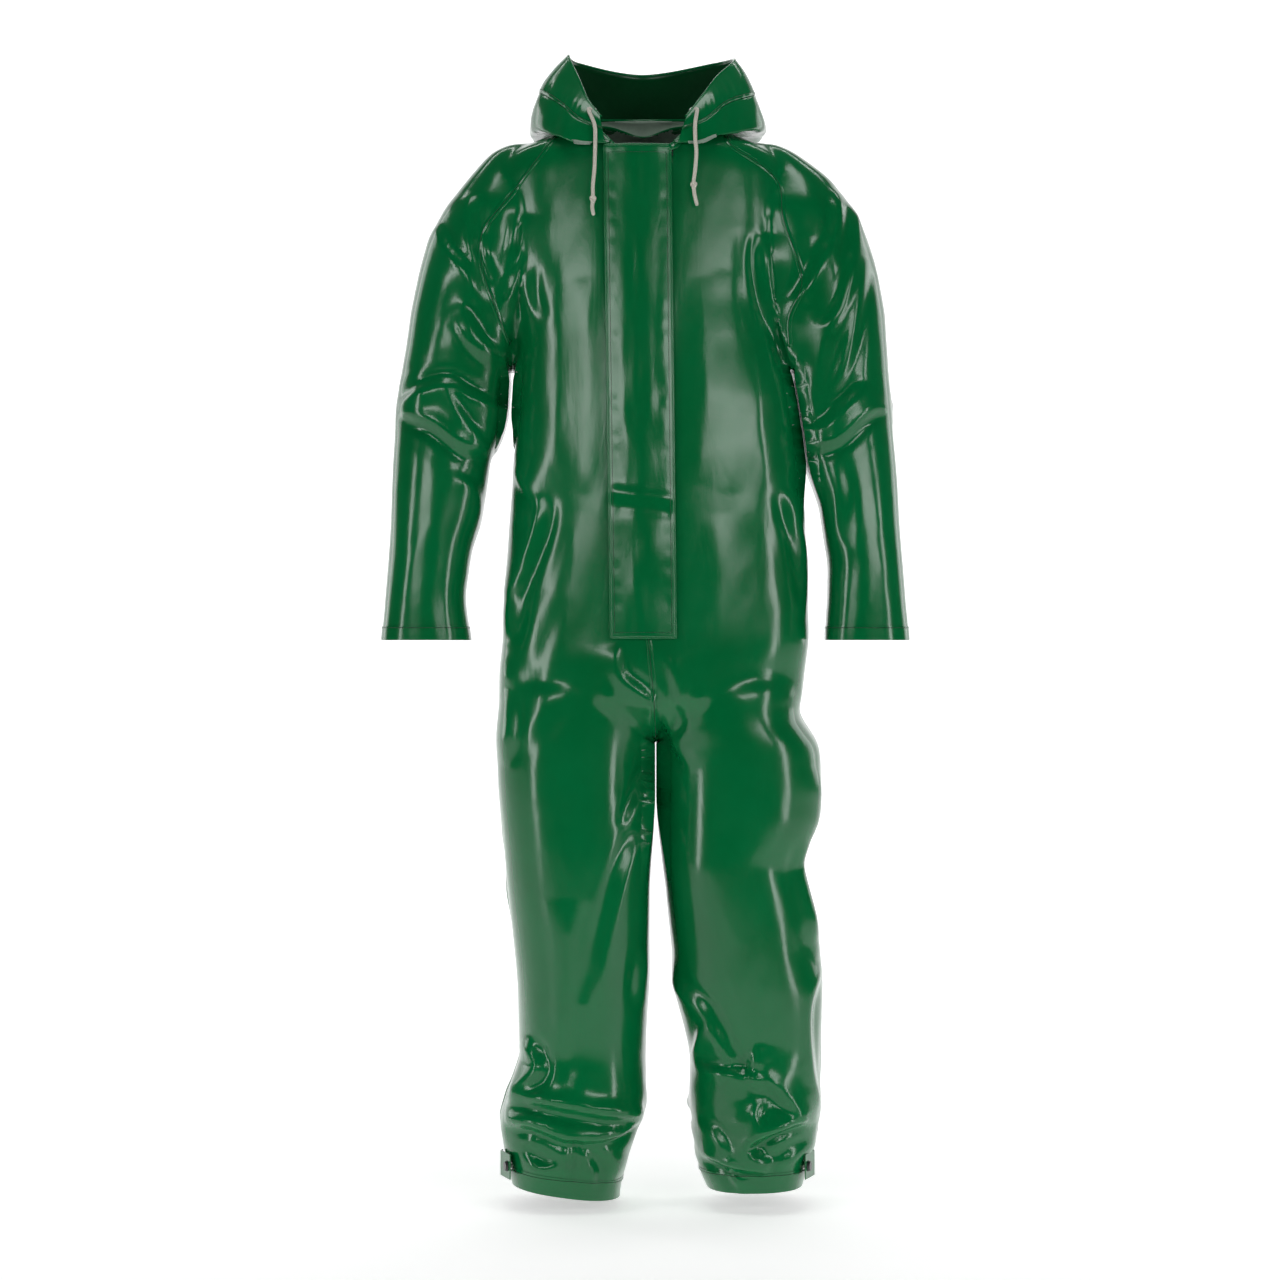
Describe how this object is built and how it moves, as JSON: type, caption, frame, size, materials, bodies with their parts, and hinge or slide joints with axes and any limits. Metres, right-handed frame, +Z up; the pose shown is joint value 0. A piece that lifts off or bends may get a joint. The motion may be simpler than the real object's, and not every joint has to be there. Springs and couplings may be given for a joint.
{
  "type": "hooded chemical protective coverall",
  "caption": "Hooded one-piece coverall of glossy coated cloth with raglan sleeves, a storm flap over a front zip, a drawcord hood worn down and snap-gathered ankles.",
  "frame": {"origin": "the middle of the neck opening at throat height, where the suit hangs from its wearer", "axes": "+Z up, the front faces -Y, +X is the wearer's left"},
  "size_m": [0.7219, 0.3274, 1.5549],
  "materials": {
    "coated_cloth": "glossy green coating on knitted cloth",
    "cloth_inner_face": "dull inner face of the coated cloth",
    "hook_and_loop": "woven nylon pile",
    "zip_tape": "woven polyester",
    "zip_teeth": "moulded",
    "steel": "nickel plated",
    "snap_enamel": "black enamel",
    "eyelet_enamel": "green enamel",
    "cotton_cord": "braided cotton"
  },
  "bodies": {
    "suit": {"front_panel_left": "coated_cloth", "front_panel_right": "coated_cloth", "back_panel_left": "coated_cloth", "back_panel_right": "coated_cloth", "raglan_cap_left": "coated_cloth", "raglan_cap_right": "coated_cloth", "neck_binding": "cloth_inner_face", "hood_side_left": "coated_cloth", "hood_side_right": "coated_cloth", "hood_crown": "coated_cloth", "hood_hem": "coated_cloth", "eyelet_left": "eyelet_enamel", "eyelet_right": "eyelet_enamel", "drawcord_run": "cotton_cord", "drawcord_left": "cotton_cord", "drawcord_right": "cotton_cord", "drawcord_knot_left": "cotton_cord", "drawcord_knot_right": "cotton_cord", "zip_tape_left": "zip_tape", "zip_tape_right": "zip_tape", "zip_teeth_left": "zip_teeth", "zip_teeth_right": "zip_teeth", "zip_top_stop_left": "steel", "zip_top_stop_right": "steel", "zip_bottom_stop": "steel", "loop_strip": "hook_and_loop"},
    "sleeve_left": {"sleeve_front_left": "coated_cloth", "sleeve_back_left": "coated_cloth", "cuff_hem_left": "cloth_inner_face"},
    "sleeve_right": {"sleeve_front_right": "coated_cloth", "sleeve_back_right": "coated_cloth", "cuff_hem_right": "cloth_inner_face"},
    "leg_left": {"leg_front_left": "coated_cloth", "leg_back_left": "coated_cloth", "leg_hem_left": "cloth_inner_face", "snap_stud_left": "steel"},
    "leg_right": {"leg_front_right": "coated_cloth", "leg_back_right": "coated_cloth", "leg_hem_right": "cloth_inner_face", "snap_stud_right": "steel"},
    "pleat_left": {"ankle_pleat_left": "coated_cloth", "snap_cap_left": "snap_enamel", "snap_socket_left": "steel"},
    "pleat_right": {"ankle_pleat_right": "coated_cloth", "snap_cap_right": "snap_enamel", "snap_socket_right": "steel"},
    "flap": {"storm_flap": "coated_cloth", "storm_flap_facing": "cloth_inner_face", "hook_strip": "hook_and_loop"},
    "slider": {"zip_slider": "steel"},
    "pull_tab": {"zip_pull_tab": "steel"}
  },
  "joints": [
    {"name": "sleeve_left_swing", "type": "hinge", "parent": "suit", "child": "sleeve_left", "pos_m": [0.195, 0, -0.07], "axis": [0, -1, 0], "range_deg": [0, 70]},
    {"name": "sleeve_right_swing", "type": "hinge", "parent": "suit", "child": "sleeve_right", "pos_m": [-0.195, 0, -0.07], "axis": [0, 1, 0], "range_deg": [0, 70]},
    {"name": "leg_left_swing", "type": "hinge", "parent": "suit", "child": "leg_left", "pos_m": [0.11, 0, -0.64], "axis": [-1, 0, 0], "range_deg": [-20, 35]},
    {"name": "leg_right_swing", "type": "hinge", "parent": "suit", "child": "leg_right", "pos_m": [-0.11, 0, -0.64], "axis": [-1, 0, 0], "range_deg": [-20, 35]},
    {"name": "flap_hinge", "type": "hinge", "parent": "suit", "child": "flap", "pos_m": [0.042, -0.1139, 0.00004], "axis": [0, 0.033, 0.9995], "range_deg": [0, 110]},
    {"name": "slider_run", "type": "slide", "parent": "suit", "child": "slider", "axis": [0, -0.033, -0.9995], "range_m": [0, 0.56]},
    {"name": "pull_tab_swivel", "type": "hinge", "parent": "slider", "child": "pull_tab", "pos_m": [0, -0.11739, -0.02986], "axis": [0, 0.9995, -0.033], "range_deg": [-30, 30]},
    {"name": "pleat_left_hinge", "type": "hinge", "parent": "leg_left", "child": "pleat_left", "pos_m": [0.23231, -0.01966, -1.382], "axis": [0, 0, 1], "range_deg": [0, 110]},
    {"name": "pleat_right_hinge", "type": "hinge", "parent": "leg_right", "child": "pleat_right", "pos_m": [-0.19231, -0.01966, -1.382], "axis": [0, 0, 1], "range_deg": [-110, 0]}
  ]
}
